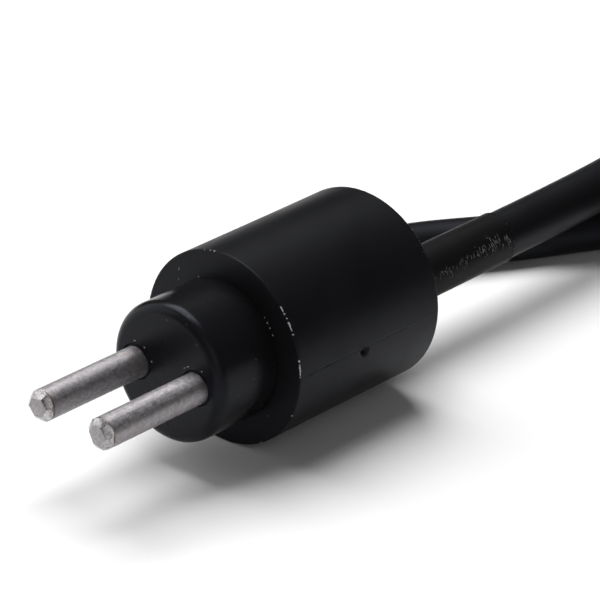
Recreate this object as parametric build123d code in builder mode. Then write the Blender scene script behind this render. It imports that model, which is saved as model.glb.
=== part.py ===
# Two-pin soil moisture sensor on a two-core lead, lying on its side.
# Millimetres, +Z up. The head's axis runs along Y: pins towards -Y, lead towards +Y.
# The origin is under the middle of the head, on the surface that it lies on.
from build123d import *
from math import radians, tan
import os

# ---------------------------------------------------------------- head
body_diameter = 20.0
body_length = 20.8
body_back_round = 1.0
nose_diameter = 14.4
nose_length = 8.1
nose_edge_round = 1.6

# ---------------------------------------------------------------- electrodes
pin_diameter = 3.2
pin_spacing = 7.8
pin_reach = 13.4
pin_tip_flat_diameter = 2.2
pin_tip_angle = 45.0
pin_tip_facets = 6
pin_root_depth = 5.6
pin_shank_diameter = 2.8
pin_tail_diameter = 1.8
pin_tail_length = 3.0
pin_groove_depth = 0.35
pin_groove_width = 1.2
seal_width = 0.55
seal_height = 0.45

# ---------------------------------------------------------------- carrier inside the head
carrier_depth = 5.0
carrier_root_step = 0.4
carrier_root_lead = 0.4
carrier_groove_depth = 0.6
carrier_groove_start = 1.5
carrier_groove_width = 1.8

# ---------------------------------------------------------------- lead
cable_diameter = 5.2
cable_exit_x = 1.0
cable_exit_drop = 1.6
relief_length = 20.0
relief_root_wall = 1.7
relief_mouth_wall = 0.15
relief_taper_length = 12.0
relief_root_round = 0.8
jacket_in_head = 3.2
anchor_ring_wall = 0.7
anchor_ring_width = 1.8
anchor_ring_setback = 0.8

# ---------------------------------------------------------------- splices inside the head
core_diameter = 2.1
core_pitch = 2.16
conductor_diameter = 0.9
barrel_diameter = 2.8
barrel_length = 5.0
barrel_gap = 0.5
core_lead_in = 1.2
conductor_in_core = 1.0
sleeve_wall = 0.3
sleeve_over_core = 0.9
core_straight = 0.7
core_bend_radius = 1.1

# ---------------------------------------------------------------- coil and tie
coil_turn_radius = 25.0
coil_columns = 2
coil_layers = 4
coil_centre_x = 11.55
tie_width = 3.6
tie_thickness = 1.0
tie_clearance = 0.1
tie_angle = 45.0
tie_head_length = 6.0
tie_head_width = 5.4
tie_head_height = 4.2
tie_stub_length = 3.0

# ---------------------------------------------------------------- stripped end
end_sleeve_on_jacket = 4.6
end_sleeve_on_cores = 2.4
end_sleeve_wall = 0.4
end_sleeve_bore_diameter = 4.9
collar_diameter = 2.9
collar_mouth_diameter = 2.5
collar_length = 6.0
collar_socket = 2.0
ferrule_diameter = 1.4
ferrule_reach = 8.0
ferrule_tip_chamfer = 0.2
ferrule_flare_diameter = 1.9
ferrule_flare_lead = 0.6

# ---------------------------------------------------------------- places worked out from the sizes
body_radius = body_diameter / 2
pin_radius = pin_diameter / 2
shank_radius = pin_shank_diameter / 2
carrier_root_radius = nose_diameter / 2 - carrier_root_step
carrier_groove_radius = carrier_root_radius - carrier_groove_depth
cable_radius = cable_diameter / 2
relief_root_radius = cable_radius + relief_root_wall
relief_mouth_radius = cable_radius + relief_mouth_wall
axis_z = body_radius
front_y = (nose_length + pin_reach - body_length - relief_length) / 2
back_y = front_y + body_length
nose_y = front_y - nose_length
tip_y = nose_y - pin_reach
seal_y = nose_y - seal_height
mouth_y = back_y + relief_length
cable_z = axis_z - cable_exit_drop
jacket_y = back_y - jacket_in_head
pin_tail_y = front_y + pin_root_depth
barrel_y = pin_tail_y + barrel_gap
splice_y = pin_tail_y + pin_tail_length
barrel_end_y = barrel_y + barrel_length
sleeve_end_y = barrel_end_y + sleeve_over_core

# The lead's route: x and y from the middle of its exit in the back of the head, z from the surface.
# It runs straight out of the relief, over its own tail, and onto the second layer of the coil.
lead_route = [(0, relief_length, cable_z), (0, 43.35, cable_z), (-3.6, 55.55, 8.0), (-12.3, 64.55, 7.8)]

# The tail leaves the bottom layer of the coil, passes under the lead and ends beside the head.
tail_route = [(26, 52.25), (11.5, 52.25), (0.7, 44.85), (-6.2, 30.8), (-13.6, 20.1), (-16.28, 10.88)]
coil_outer_turn = coil_turn_radius + cable_radius * (coil_columns - 1)
coil_centre = Vector(cable_exit_x + coil_centre_x, back_y + tail_route[0][1] + coil_outer_turn, 0)
arc_share = 0.45

# The two cores of the tail, from the cut jacket to their ferrules.
tail_cores = {
    "left": [(-17.32, 11.18, 2.6), (-18.6, 6.8, 2.6), (-18.0, 0.5, 1.45), (-18.0, -3.0, 1.45)],
    "right": [(-15.24, 10.58, 2.6), (-16.44, 6.45, 2.6), (-14.8, 0.5, 1.45), (-14.8, -3.0, 1.45)],
}
sides = {"left": -1, "right": 1}


def save(piece, label):
    """Name a finished piece and write it to its own STEP file."""
    piece.part.label = label
    export_step(piece.part, "parts/" + label + ".step")


def lying_plane(x, z):
    """A level plane whose local Y is a line along the head at x and z."""
    return Plane(origin=(x, 0, z), x_dir=(1, 0, 0), z_dir=(0, 0, 1))


def lying_axis(x, z):
    return Axis((x, 0, z), (0, 1, 0))


def from_exit(points):
    """Turn points given from the lead's exit into points of the whole part."""
    return [Vector(cable_exit_x + x, back_y + y, z) for x, y, z in points]


def corner_radii(points):
    """The radius of the arc at each corner, as large as its two runs allow."""
    radii = []
    for before, corner, after in zip(points, points[1:], points[2:]):
        shorter_run = min((corner - before).length, (after - corner).length)
        turn = (corner - before).get_angle(after - corner)
        radii.append(arc_share * shorter_run / tan(radians(turn / 2)))
    return radii


def tube(points, diameter, radii):
    """A round rod along straight runs joined by tangent arcs, and the length of its path."""
    with BuildPart() as rod:
        with BuildLine() as path:
            FilletPolyline(*points, radius=radii)
        route = path.wires()[0]
        with BuildSketch(Plane(origin=route @ 0, z_dir=route % 0)):
            Circle(diameter / 2)
        sweep(path=route)
    return rod, route.length


def bundle_profile(angle, inset=0.0):
    """Section of the wound turns at an angle round the coil."""
    inner = coil_turn_radius - coil_columns * cable_radius + inset
    outer = coil_turn_radius + coil_columns * cable_radius - inset
    top = coil_layers * cable_diameter - inset
    outwards = Vector(1, 0).rotate(Axis.Z, angle)
    across = outwards.rotate(Axis.Z, -90)
    with BuildSketch(Plane(origin=coil_centre, x_dir=outwards, z_dir=across)) as section:
        with BuildLine():
            Polyline((inner, inset), (outer, inset), (outer, top), (inner, top), close=True)
        make_face()
        fillet(section.vertices(), cable_radius - inset)
    return section.sketch


os.makedirs("parts", exist_ok=True)

# ---------------------------------------------------------------- electrodes and their seals
electrodes = {}
for side, sign in sides.items():
    pin_x = sign * pin_spacing / 2
    with BuildPart() as electrode:
        with BuildSketch(lying_plane(pin_x, axis_z)):
            with BuildLine():
                Polyline(
                    (0, tip_y), (pin_radius, tip_y), (pin_radius, seal_y),
                    (shank_radius, seal_y), (shank_radius, pin_tail_y),
                    (pin_tail_diameter / 2, pin_tail_y), (pin_tail_diameter / 2, splice_y),
                    (0, splice_y), close=True)
            make_face()
        revolve(axis=lying_axis(pin_x, axis_z))
        with BuildSketch(Plane(origin=(pin_x, tip_y, axis_z), x_dir=(1, 0, 0), z_dir=(0, 1, 0))):
            RegularPolygon(pin_tip_flat_diameter / 2, pin_tip_facets, major_radius=False)
        extrude(amount=splice_y - tip_y, taper=-pin_tip_angle, mode=Mode.INTERSECT)
        groove_y = front_y + carrier_depth / 2
        with BuildSketch(lying_plane(pin_x, axis_z)):
            with Locations((shank_radius, groove_y)):
                Rectangle(2 * pin_groove_depth, pin_groove_width)
        revolve(axis=lying_axis(pin_x, axis_z), mode=Mode.SUBTRACT)
    electrodes[side] = electrode
    save(electrode, "electrode_" + side)

    with BuildPart() as pin_seal:
        with BuildSketch(lying_plane(pin_x, axis_z)):
            with BuildLine():
                seal_line = Polyline(
                    (pin_radius, seal_y), (shank_radius, seal_y), (shank_radius, nose_y),
                    (pin_radius + seal_width, nose_y))
                ThreePointArc(
                    seal_line @ 0,
                    (pin_radius + seal_width * 0.7, nose_y - seal_height * 0.7),
                    seal_line @ 1)
            make_face()
        revolve(axis=lying_axis(pin_x, axis_z))
    save(pin_seal, "pin_seal_" + side)

# ---------------------------------------------------------------- pin carrier: the nose and its root
with BuildPart() as pin_carrier:
    with BuildSketch(lying_plane(0, axis_z)):
        with BuildLine():
            Polyline(
                (0, nose_y), (nose_diameter / 2, nose_y), (nose_diameter / 2, front_y),
                (carrier_root_radius, front_y + carrier_root_lead),
                (carrier_root_radius, front_y + carrier_groove_start),
                (carrier_groove_radius, front_y + carrier_groove_start),
                (carrier_groove_radius, front_y + carrier_groove_start + carrier_groove_width),
                (carrier_root_radius, front_y + carrier_groove_start + carrier_groove_width),
                (carrier_root_radius, front_y + carrier_depth), (0, front_y + carrier_depth), close=True)
        make_face()
    revolve(axis=lying_axis(0, axis_z))
    nose_edge = pin_carrier.edges().filter_by(GeomType.CIRCLE).sort_by(Axis.Y)[0]
    fillet(nose_edge, nose_edge_round)
    for electrode in electrodes.values():
        add(electrode.part, mode=Mode.SUBTRACT)
save(pin_carrier, "pin_carrier")

# ---------------------------------------------------------------- splices: barrel, conductor, core, sleeve
splices = []
for side, sign in sides.items():
    pin_x = sign * pin_spacing / 2
    core_end_x = cable_exit_x + sign * core_pitch / 2

    with BuildPart() as crimp_barrel:
        with BuildSketch(lying_plane(pin_x, axis_z)):
            with BuildLine():
                Polyline(
                    (pin_tail_diameter / 2, barrel_y), (barrel_diameter / 2, barrel_y),
                    (barrel_diameter / 2, barrel_end_y), (conductor_diameter / 2, barrel_end_y),
                    (conductor_diameter / 2, splice_y), (pin_tail_diameter / 2, splice_y), close=True)
            make_face()
        revolve(axis=lying_axis(pin_x, axis_z))
    save(crimp_barrel, "crimp_barrel_" + side)

    with BuildPart() as conductor:
        with BuildSketch(Plane(origin=(pin_x, splice_y, axis_z), z_dir=(0, 1, 0))):
            Circle(conductor_diameter / 2)
        extrude(amount=barrel_end_y + conductor_in_core - splice_y)
    save(conductor, "conductor_" + side)

    bend_start_y = sleeve_end_y + core_straight
    core_points = [
        Vector(pin_x, barrel_end_y, axis_z), Vector(pin_x, bend_start_y, axis_z),
        Vector(core_end_x, jacket_y - core_lead_in, cable_z),
        Vector(core_end_x, jacket_y, cable_z)]
    core, core_length = tube(core_points, core_diameter, core_bend_radius)
    with core:
        add(conductor.part, mode=Mode.SUBTRACT)
    save(core, "core_" + side)

    with BuildPart() as shrink_sleeve:
        with BuildSketch(lying_plane(pin_x, axis_z)):
            with BuildLine():
                Polyline(
                    (barrel_diameter / 2, barrel_y), (barrel_diameter / 2 + sleeve_wall, barrel_y),
                    (barrel_diameter / 2 + sleeve_wall, barrel_end_y),
                    (core_diameter / 2 + sleeve_wall, sleeve_end_y),
                    (core_diameter / 2, sleeve_end_y), (core_diameter / 2, barrel_end_y),
                    (barrel_diameter / 2, barrel_end_y), close=True)
            make_face()
        revolve(axis=lying_axis(pin_x, axis_z))
    save(shrink_sleeve, "shrink_sleeve_" + side)
    splices += [crimp_barrel, conductor, core, shrink_sleeve]

# ---------------------------------------------------------------- the lead's potted end and its anchor
with BuildPart() as cable_root:
    with BuildSketch(Plane(origin=(cable_exit_x, jacket_y, cable_z), z_dir=(0, 1, 0))):
        Circle(cable_radius)
    extrude(amount=mouth_y - jacket_y)
save(cable_root, "cable_root")

with BuildPart() as anchor_ring:
    anchor_y = back_y - anchor_ring_setback - anchor_ring_width
    with BuildSketch(Plane(origin=(cable_exit_x, anchor_y, cable_z), z_dir=(0, 1, 0))):
        Circle(cable_radius + anchor_ring_wall)
        Circle(cable_radius, mode=Mode.SUBTRACT)
    extrude(amount=anchor_ring_width)
save(anchor_ring, "anchor_ring")

# ---------------------------------------------------------------- overmould: barrel and strain relief
with BuildPart() as overmould_body:
    with BuildSketch(Plane(origin=(0, front_y, axis_z), z_dir=(0, 1, 0))):
        Circle(body_radius)
    extrude(amount=body_length)
    fillet(overmould_body.edges().sort_by(Axis.Y)[-1], body_back_round)
    with BuildSketch(lying_plane(cable_exit_x, cable_z)):
        with BuildLine():
            Polyline(
                (0, back_y), (relief_root_radius, back_y),
                (relief_mouth_radius, back_y + relief_taper_length),
                (relief_mouth_radius, mouth_y), (0, mouth_y), close=True)
        make_face()
    revolve(axis=lying_axis(cable_exit_x, cable_z))
    relief_root = overmould_body.edges().filter_by(GeomType.CIRCLE).filter_by(
        lambda edge: abs(edge.radius - relief_root_radius) < 0.01)
    fillet(relief_root, relief_root_round)
    add(pin_carrier.part, mode=Mode.SUBTRACT)
    for embedded in list(electrodes.values()) + splices + [cable_root, anchor_ring]:
        add(embedded.part, mode=Mode.SUBTRACT)
save(overmould_body, "overmould_body")

# ---------------------------------------------------------------- free lead: to the coil, the coil, and its tail
lead_points = from_exit(lead_route)
lead_radii = corner_radii(lead_points)
cable_lead, lead_length = tube(lead_points, cable_diameter, lead_radii)
save(cable_lead, "cable_lead")

tail_points = from_exit([(x, y, cable_radius) for x, y in tail_route])
tail_radii = corner_radii(tail_points)
cable_tail, tail_length = tube(tail_points, cable_diameter, tail_radii)
save(cable_tail, "cable_tail")

tie_section = bundle_profile(tie_angle) - bundle_profile(tie_angle, tie_thickness)
with BuildPart() as coil_tie:
    extrude(tie_section, amount=tie_width / 2, both=True)
    bundle_top = coil_layers * cable_diameter
    tie_place = Plane(origin=coil_centre, x_dir=Vector(1, 0).rotate(Axis.Z, tie_angle), z_dir=(0, 0, 1))
    head_z = bundle_top + tie_head_height / 2
    stub_x = coil_turn_radius + (tie_head_length + tie_stub_length) / 2
    with Locations(tie_place):
        with Locations((coil_turn_radius, 0, head_z)):
            Box(tie_head_length, tie_head_width, tie_head_height)
        with Locations((stub_x, 0, head_z)):
            Box(tie_stub_length, tie_width, tie_thickness)
save(coil_tie, "coil_tie")

tie_groove = bundle_profile(tie_angle, -tie_thickness) - bundle_profile(tie_angle, tie_thickness + tie_clearance)
with BuildPart() as cable_coil:
    add(bundle_profile(0))
    revolve(axis=Axis(coil_centre, (0, 0, 1)))
    extrude(tie_groove, amount=tie_width / 2 + tie_clearance, both=True, mode=Mode.SUBTRACT)
save(cable_coil, "cable_coil")

# ---------------------------------------------------------------- stripped end: sleeve, cores, ferrules
tail_end = tail_points[-1]
tail_way = (tail_points[-1] - tail_points[-2]).normalized()
sleeve_start = tail_end - tail_way * end_sleeve_on_jacket
with BuildPart() as end_sleeve:
    with BuildSketch(Plane(origin=sleeve_start, z_dir=tail_way)):
        Circle(cable_radius + end_sleeve_wall)
        Circle(cable_radius, mode=Mode.SUBTRACT)
    extrude(amount=end_sleeve_on_jacket)
    with BuildSketch(Plane(origin=tail_end, z_dir=tail_way)):
        Circle(cable_radius + end_sleeve_wall)
        Circle(end_sleeve_bore_diameter / 2, mode=Mode.SUBTRACT)
    extrude(amount=end_sleeve_on_cores)
save(end_sleeve, "end_sleeve")

for side, route in tail_cores.items():
    core_points = from_exit(route)
    tail_core, tail_core_length = tube(core_points, core_diameter, corner_radii(core_points))
    save(tail_core, "tail_core_" + side)

    core_end = core_points[-1]
    forwards = Plane(origin=core_end, x_dir=(1, 0, 0), z_dir=(0, -1, 0))
    in_collar = collar_length - collar_socket
    ferrule_length = in_collar + ferrule_reach
    with BuildPart() as tail_strands:
        with BuildSketch(forwards):
            Circle(conductor_diameter / 2)
        extrude(amount=ferrule_length)
    save(tail_strands, "tail_strands_" + side)

    # The metal tube flares inside its collar, so only the bare end has the stated diameter.
    with BuildPart() as ferrule:
        with BuildSketch(forwards):
            Circle(ferrule_flare_diameter / 2)
        extrude(amount=in_collar - ferrule_flare_lead)
        with BuildSketch(forwards.offset(in_collar - ferrule_flare_lead)):
            Circle(ferrule_flare_diameter / 2)
        with BuildSketch(forwards.offset(in_collar)):
            Circle(ferrule_diameter / 2)
        loft()
        with BuildSketch(forwards.offset(in_collar)):
            Circle(ferrule_diameter / 2)
        extrude(amount=ferrule_reach)
        chamfer(ferrule.edges().sort_by(Axis.Y)[0], ferrule_tip_chamfer)
        add(tail_strands.part, mode=Mode.SUBTRACT)
    save(ferrule, "ferrule_" + side)

    with BuildPart() as ferrule_collar:
        with BuildSketch(forwards.offset(-collar_socket)):
            Circle(collar_diameter / 2)
        with BuildSketch(forwards.offset(in_collar)):
            Circle(collar_mouth_diameter / 2)
        loft()
        with BuildSketch(forwards.offset(-collar_socket)):
            Circle(core_diameter / 2)
        extrude(amount=collar_socket, mode=Mode.SUBTRACT)
        for inner in (ferrule, tail_strands):
            add(inner.part, mode=Mode.SUBTRACT)
    save(ferrule_collar, "ferrule_collar_" + side)

# ---------------------------------------------------------------- what the lead measures
section = cable_root.part.volume / (mouth_y - jacket_y)
for label, piece, length, radii in (
        ("lead", cable_lead, lead_length, lead_radii), ("tail", cable_tail, tail_length, tail_radii)):
    print(label, "length", round(length, 1), "volume over section", round(piece.part.volume / section, 1),
          "radii", [round(radius, 1) for radius in radii])
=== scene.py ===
import bpy
import bmesh
import math
import random
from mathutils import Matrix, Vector, noise


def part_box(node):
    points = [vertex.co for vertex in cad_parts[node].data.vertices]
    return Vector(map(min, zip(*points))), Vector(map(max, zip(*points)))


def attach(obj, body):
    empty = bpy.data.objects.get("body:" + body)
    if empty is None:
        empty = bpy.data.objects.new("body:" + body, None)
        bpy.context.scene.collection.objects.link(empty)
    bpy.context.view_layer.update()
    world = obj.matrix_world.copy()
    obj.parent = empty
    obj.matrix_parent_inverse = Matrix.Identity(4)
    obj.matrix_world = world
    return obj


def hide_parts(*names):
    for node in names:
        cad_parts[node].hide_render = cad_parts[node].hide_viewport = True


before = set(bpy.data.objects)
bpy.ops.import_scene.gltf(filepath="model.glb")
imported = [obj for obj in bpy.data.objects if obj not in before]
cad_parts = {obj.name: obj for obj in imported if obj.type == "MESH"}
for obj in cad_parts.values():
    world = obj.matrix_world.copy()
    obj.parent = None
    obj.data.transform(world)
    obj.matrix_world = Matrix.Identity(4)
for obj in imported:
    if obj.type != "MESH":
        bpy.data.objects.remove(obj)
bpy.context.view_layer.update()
mm = 0.001
upright = (math.pi / 2, 0, 0)  # turns a primitive's own axis from Z to -Y, along the head

# Places that every piece takes from the CAD nodes.
bodyLow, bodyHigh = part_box("overmould_body")
noseLow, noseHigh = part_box("pin_carrier")
cableLow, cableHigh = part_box("cable_root")
axisZ = (bodyLow.z + bodyHigh.z) / 2
bodyRadius = (bodyHigh.x - bodyLow.x) / 2
noseRadius = (noseHigh.x - noseLow.x) / 2
cableX = (cableLow.x + cableHigh.x) / 2
cableZ = (cableLow.z + cableHigh.z) / 2
frontY = bodyLow.y
mouthY = bodyHigh.y
noseY = noseLow.y
backY = mouthY - 20.0 * mm  # the barrel's back, where the strain relief starts
pinSpacing = 7.8 * mm


# The camera looks at the pins' end from above and to the right of the head.
cameraView = {
    "azimuth": 40.522, "elevation": 26.464, "roll": 2.204, "distance": 0.3968, "lens": 240.0, "sensor": 36.0,
    "near": 0.01, "far": 20.0, "aim": (-0.00159, 0.00341, 0.0100),
}


def placeCamera(view):
    azimuth = math.radians(view["azimuth"])
    elevation = math.radians(view["elevation"])
    back = Vector((
        math.sin(azimuth) * math.cos(elevation), -math.cos(azimuth) * math.cos(elevation), math.sin(elevation)))
    data = bpy.data.cameras.new("camera")
    data.lens = view["lens"]
    data.sensor_width = view["sensor"]
    data.clip_start = view["near"]
    data.clip_end = view["far"]
    camera = bpy.data.objects.new("camera", data)
    bpy.context.scene.collection.objects.link(camera)
    camera.location = Vector(view["aim"]) + back * view["distance"]
    camera.rotation_euler = back.to_track_quat("Z", "Y").to_euler()
    camera.rotation_euler.rotate_axis("Z", math.radians(view["roll"]))
    bpy.context.scene.camera = camera


lamps = [  # soft boxes round the table, sizes in metres and power in watts
    {"name": "topBox", "place": (-0.25, 0.10, 0.70), "size": 0.60, "power": 7.0},
    {"name": "leftBox", "place": (-0.70, -0.35, 0.35), "size": 0.80, "power": 3.0},
    {"name": "rightBox", "place": (0.55, -0.45, 0.30), "size": 0.60, "power": 0.8},
]
lampAim = Vector((0, 0.01, 0.01))
sky = {"strength": 1.7, "horizon": 0.12, "clearFrom": 0.08, "clearTo": 0.65}  # a bright ceiling over dark walls


def placeLights():
    for lamp in lamps:
        data = bpy.data.lights.new(lamp["name"], "AREA")
        data.shape = "SQUARE"
        data.size = lamp["size"]
        data.energy = lamp["power"]
        light = bpy.data.objects.new(lamp["name"], data)
        bpy.context.scene.collection.objects.link(light)
        light.location = lamp["place"]
        light.rotation_euler = (lampAim - light.location).to_track_quat("-Z", "Y").to_euler()
    world = bpy.data.worlds.new("softWorld")
    world.use_nodes = True
    tree = world.node_tree  # its strength rises with height
    direction = tree.nodes.new("ShaderNodeTexCoord")
    parts = tree.nodes.new("ShaderNodeSeparateXYZ")
    rise = tree.nodes.new("ShaderNodeMapRange")
    rise.inputs["From Min"].default_value = sky["clearFrom"]
    rise.inputs["From Max"].default_value = sky["clearTo"]
    rise.inputs["To Min"].default_value = sky["horizon"] * sky["strength"]
    rise.inputs["To Max"].default_value = sky["strength"]
    tree.links.new(direction.outputs["Generated"], parts.inputs["Vector"])
    tree.links.new(parts.outputs["Z"], rise.inputs["Value"])
    tree.links.new(rise.outputs["Result"], tree.nodes["Background"].inputs["Strength"])
    bpy.context.scene.world = world
    bpy.context.scene.view_settings.view_transform = "Standard"


floorLook = {"size": 6.0, "colour": (0.93, 0.93, 0.93, 1.0), "rough": 0.9, "specular": 0.2}


def layFloor():
    bpy.ops.object.select_all(action="DESELECT")
    bpy.ops.mesh.primitive_plane_add(size=floorLook["size"], location=(0, 0, 0))
    floor = bpy.context.object
    floor.name = "floor"
    paint = bpy.data.materials.new("palePaper")
    paint.use_nodes = True
    shader = paint.node_tree.nodes["Principled BSDF"]
    shader.inputs["Base Color"].default_value = floorLook["colour"]
    shader.inputs["Roughness"].default_value = floorLook["rough"]
    shader.inputs["Specular IOR Level"].default_value = floorLook["specular"]
    floor.data.materials.append(paint)


placeCamera(cameraView)
placeLights()
layFloor()
print("camera, light and floor are in place")


# Small helpers that wire shader nodes. Inputs are keyed by socket name or place.
def feed(tree, socket, value):
    if isinstance(value, bpy.types.NodeSocket):
        tree.links.new(value, socket)
    else:
        socket.default_value = value


def addNode(tree, kind, inputs, **settings):
    made = tree.nodes.new(kind)
    for name, value in settings.items():
        setattr(made, name, value)
    for place, value in inputs.items():
        feed(tree, made.inputs[place], value)
    return made


def newGroup(name, inputs, outputs):
    tree = bpy.data.node_groups.new(name, "ShaderNodeTree")
    for label, kind, value in inputs:
        socket = tree.interface.new_socket(name=label, in_out="INPUT", socket_type=kind)
        socket.default_value = value
    for label, kind in outputs:
        tree.interface.new_socket(name=label, in_out="OUTPUT", socket_type=kind)
    return tree, tree.nodes.new("NodeGroupInput"), tree.nodes.new("NodeGroupOutput")


def noiseMap(tree, vector, scale, detail=3.0, roughness=0.5, distortion=0.0):
    made = addNode(tree, "ShaderNodeTexNoise", {
        "Vector": vector, "Scale": scale, "Detail": detail, "Roughness": roughness, "Distortion": distortion})
    return made.outputs["Fac"]


def span(tree, value, low, high, toLow=0.0, toHigh=1.0):
    made = addNode(tree, "ShaderNodeMapRange", {
        "Value": value, "From Min": low, "From Max": high, "To Min": toLow, "To Max": toHigh}, clamp=True)
    return made.outputs["Result"]


def maths(tree, operation, first, second):
    return addNode(tree, "ShaderNodeMath", {0: first, 1: second}, operation=operation).outputs["Value"]


def blendColours(tree, mask, first, second):
    # sockets 0, 6 and 7 of a colour mix are its factor and its two colours
    return addNode(tree, "ShaderNodeMix", {0: mask, 6: first, 7: second}, data_type="RGBA").outputs[2]


def addUp(tree, first, firstShare, second, secondShare):
    return maths(tree, "ADD", maths(tree, "MULTIPLY", first, firstShare), maths(tree, "MULTIPLY", second, secondShare))


# Effects that several finishes share, each a shader group.
def makeMouldGrain():
    tree, source, result = newGroup(
        "mouldGrain",
        [("Vector", "NodeSocketVector", (0, 0, 0)), ("Size", "NodeSocketFloat", 900.0),
         ("Flow", "NodeSocketFloat", 60.0)],
        [("Shade", "NodeSocketFloat"), ("Height", "NodeSocketFloat")])
    fine = noiseMap(tree, source.outputs["Vector"], source.outputs["Size"], 4.0, 0.6)
    flow = noiseMap(tree, source.outputs["Vector"], source.outputs["Flow"], 3.0, 0.55, 0.6)
    tree.links.new(flow, result.inputs["Shade"])
    tree.links.new(addUp(tree, fine, 0.35, flow, 0.65), result.inputs["Height"])
    return tree


def makeDustSpecks():
    tree, source, result = newGroup(
        "dustSpecks",
        [("Vector", "NodeSocketVector", (0, 0, 0)), ("Size", "NodeSocketFloat", 260.0),
         ("Amount", "NodeSocketFloat", 0.12)],
        [("Mask", "NodeSocketFloat")])
    cells = addNode(tree, "ShaderNodeTexVoronoi", {
        "Vector": source.outputs["Vector"], "Scale": source.outputs["Size"], "Randomness": 1.0})
    patches = noiseMap(tree, source.outputs["Vector"], 90.0, 2.0)
    near = maths(tree, "LESS_THAN", cells.outputs["Distance"], source.outputs["Amount"])
    chosen = maths(tree, "GREATER_THAN", patches, 0.60)
    tree.links.new(maths(tree, "MULTIPLY", near, chosen), result.inputs["Mask"])
    return tree


def makeScuffs():
    tree, source, result = newGroup(
        "scuffs",
        [("Vector", "NodeSocketVector", (0, 0, 0)), ("Size", "NodeSocketFloat", 400.0),
         ("Cover", "NodeSocketFloat", 0.66)],
        [("Mask", "NodeSocketFloat")])
    lines = noiseMap(tree, source.outputs["Vector"], source.outputs["Size"], 2.0, 0.5)
    patches = noiseMap(tree, source.outputs["Vector"], 35.0, 2.0)
    edge = span(tree, lines, source.outputs["Cover"], 0.80)
    tree.links.new(maths(tree, "MULTIPLY", edge, span(tree, patches, 0.45, 0.62)), result.inputs["Mask"])
    return tree


def makeDrawnMetalAndPaintedBands():
    tree, source, result = newGroup(
        "drawnMetal",
        [("Vector", "NodeSocketVector", (0, 0, 0)), ("Way", "NodeSocketVector", (1, 1, 1)),
         ("DrawSize", "NodeSocketFloat", 2500.0), ("MottleSize", "NodeSocketFloat", 900.0),
         ("StainSize", "NodeSocketFloat", 420.0)],
        [("Streak", "NodeSocketFloat"), ("Mottle", "NodeSocketFloat"), ("Stain", "NodeSocketFloat"),
         ("Height", "NodeSocketFloat")])
    place = source.outputs["Vector"]
    along = addNode(tree, "ShaderNodeVectorMath", {0: place, 1: source.outputs["Way"]}, operation="MULTIPLY")
    drawMarksAndBands = noiseMap(tree, along.outputs["Vector"], source.outputs["DrawSize"], 4.0, 0.6)
    mottle = noiseMap(tree, place, source.outputs["MottleSize"], 4.0, 0.65, 0.8)
    stain = noiseMap(tree, place, source.outputs["StainSize"], 3.0, 0.6)
    # the long dark streaks are drawing marks and also painted reflection bands along the rod
    tree.links.new(span(tree, drawMarksAndBands, 0.50, 0.72), result.inputs["Streak"])
    tree.links.new(span(tree, mottle, 0.35, 0.65), result.inputs["Mottle"])
    tree.links.new(span(tree, stain, 0.56, 0.72), result.inputs["Stain"])
    tree.links.new(addUp(tree, drawMarksAndBands, 0.6, mottle, 0.4), result.inputs["Height"])
    return tree


groups = {
    "mouldGrain": makeMouldGrain(), "dustSpecks": makeDustSpecks(), "scuffs": makeScuffs(),
    "drawnMetal": makeDrawnMetalAndPaintedBands(),
}


def useGroup(tree, name, inputs):
    return addNode(tree, "ShaderNodeGroup", inputs, node_tree=groups[name]).outputs


def newMaterial(name):
    material = bpy.data.materials.new(name)
    material.use_nodes = True
    tree = material.node_tree
    shader = tree.nodes["Principled BSDF"]
    place = tree.nodes.new("ShaderNodeTexCoord").outputs["Object"]
    return material, tree, shader, place


def bumpFrom(tree, shader, height, strength, distance):
    bump = addNode(tree, "ShaderNodeBump", {"Height": height, "Strength": strength, "Distance": distance})
    tree.links.new(bump.outputs["Normal"], shader.inputs["Normal"])


def makePlastic(name, look):
    material, tree, shader, place = newMaterial(name)
    grain = useGroup(tree, "mouldGrain", {"Vector": place, "Size": look["grain"], "Flow": look["flow"]})
    dust = useGroup(tree, "dustSpecks", {"Vector": place, "Size": look["dustSize"], "Amount": look["dust"]})
    along = addNode(tree, "ShaderNodeMapping", {"Vector": place, "Scale": look["scuffWay"]}).outputs["Vector"]
    scuff = useGroup(tree, "scuffs", {"Vector": along, "Size": look["scuffSize"], "Cover": look["scuffCover"]})
    tone = blendColours(tree, grain["Shade"], look["dark"], look["light"])
    scuffMask = maths(tree, "MULTIPLY", scuff["Mask"], look["scuffStrength"])
    dustMask = maths(tree, "MULTIPLY", dust["Mask"], look["dustStrength"])
    scuffed = blendColours(tree, scuffMask, tone, look["scuffColour"])
    tree.links.new(blendColours(tree, dustMask, scuffed, look["dustColour"]), shader.inputs["Base Color"])
    rough = span(tree, grain["Shade"], 0.3, 0.7, look["rough"][0], look["rough"][1])
    scuffRough = maths(tree, "MULTIPLY", scuff["Mask"], look["scuffRough"])
    tree.links.new(maths(tree, "ADD", rough, scuffRough), shader.inputs["Roughness"])
    shader.inputs["Specular IOR Level"].default_value = look["specular"]
    shader.inputs["Specular Tint"].default_value = look["sheen"]
    bumpFrom(tree, shader, grain["Height"], look["bump"], look["bumpDepth"])
    return material


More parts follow.
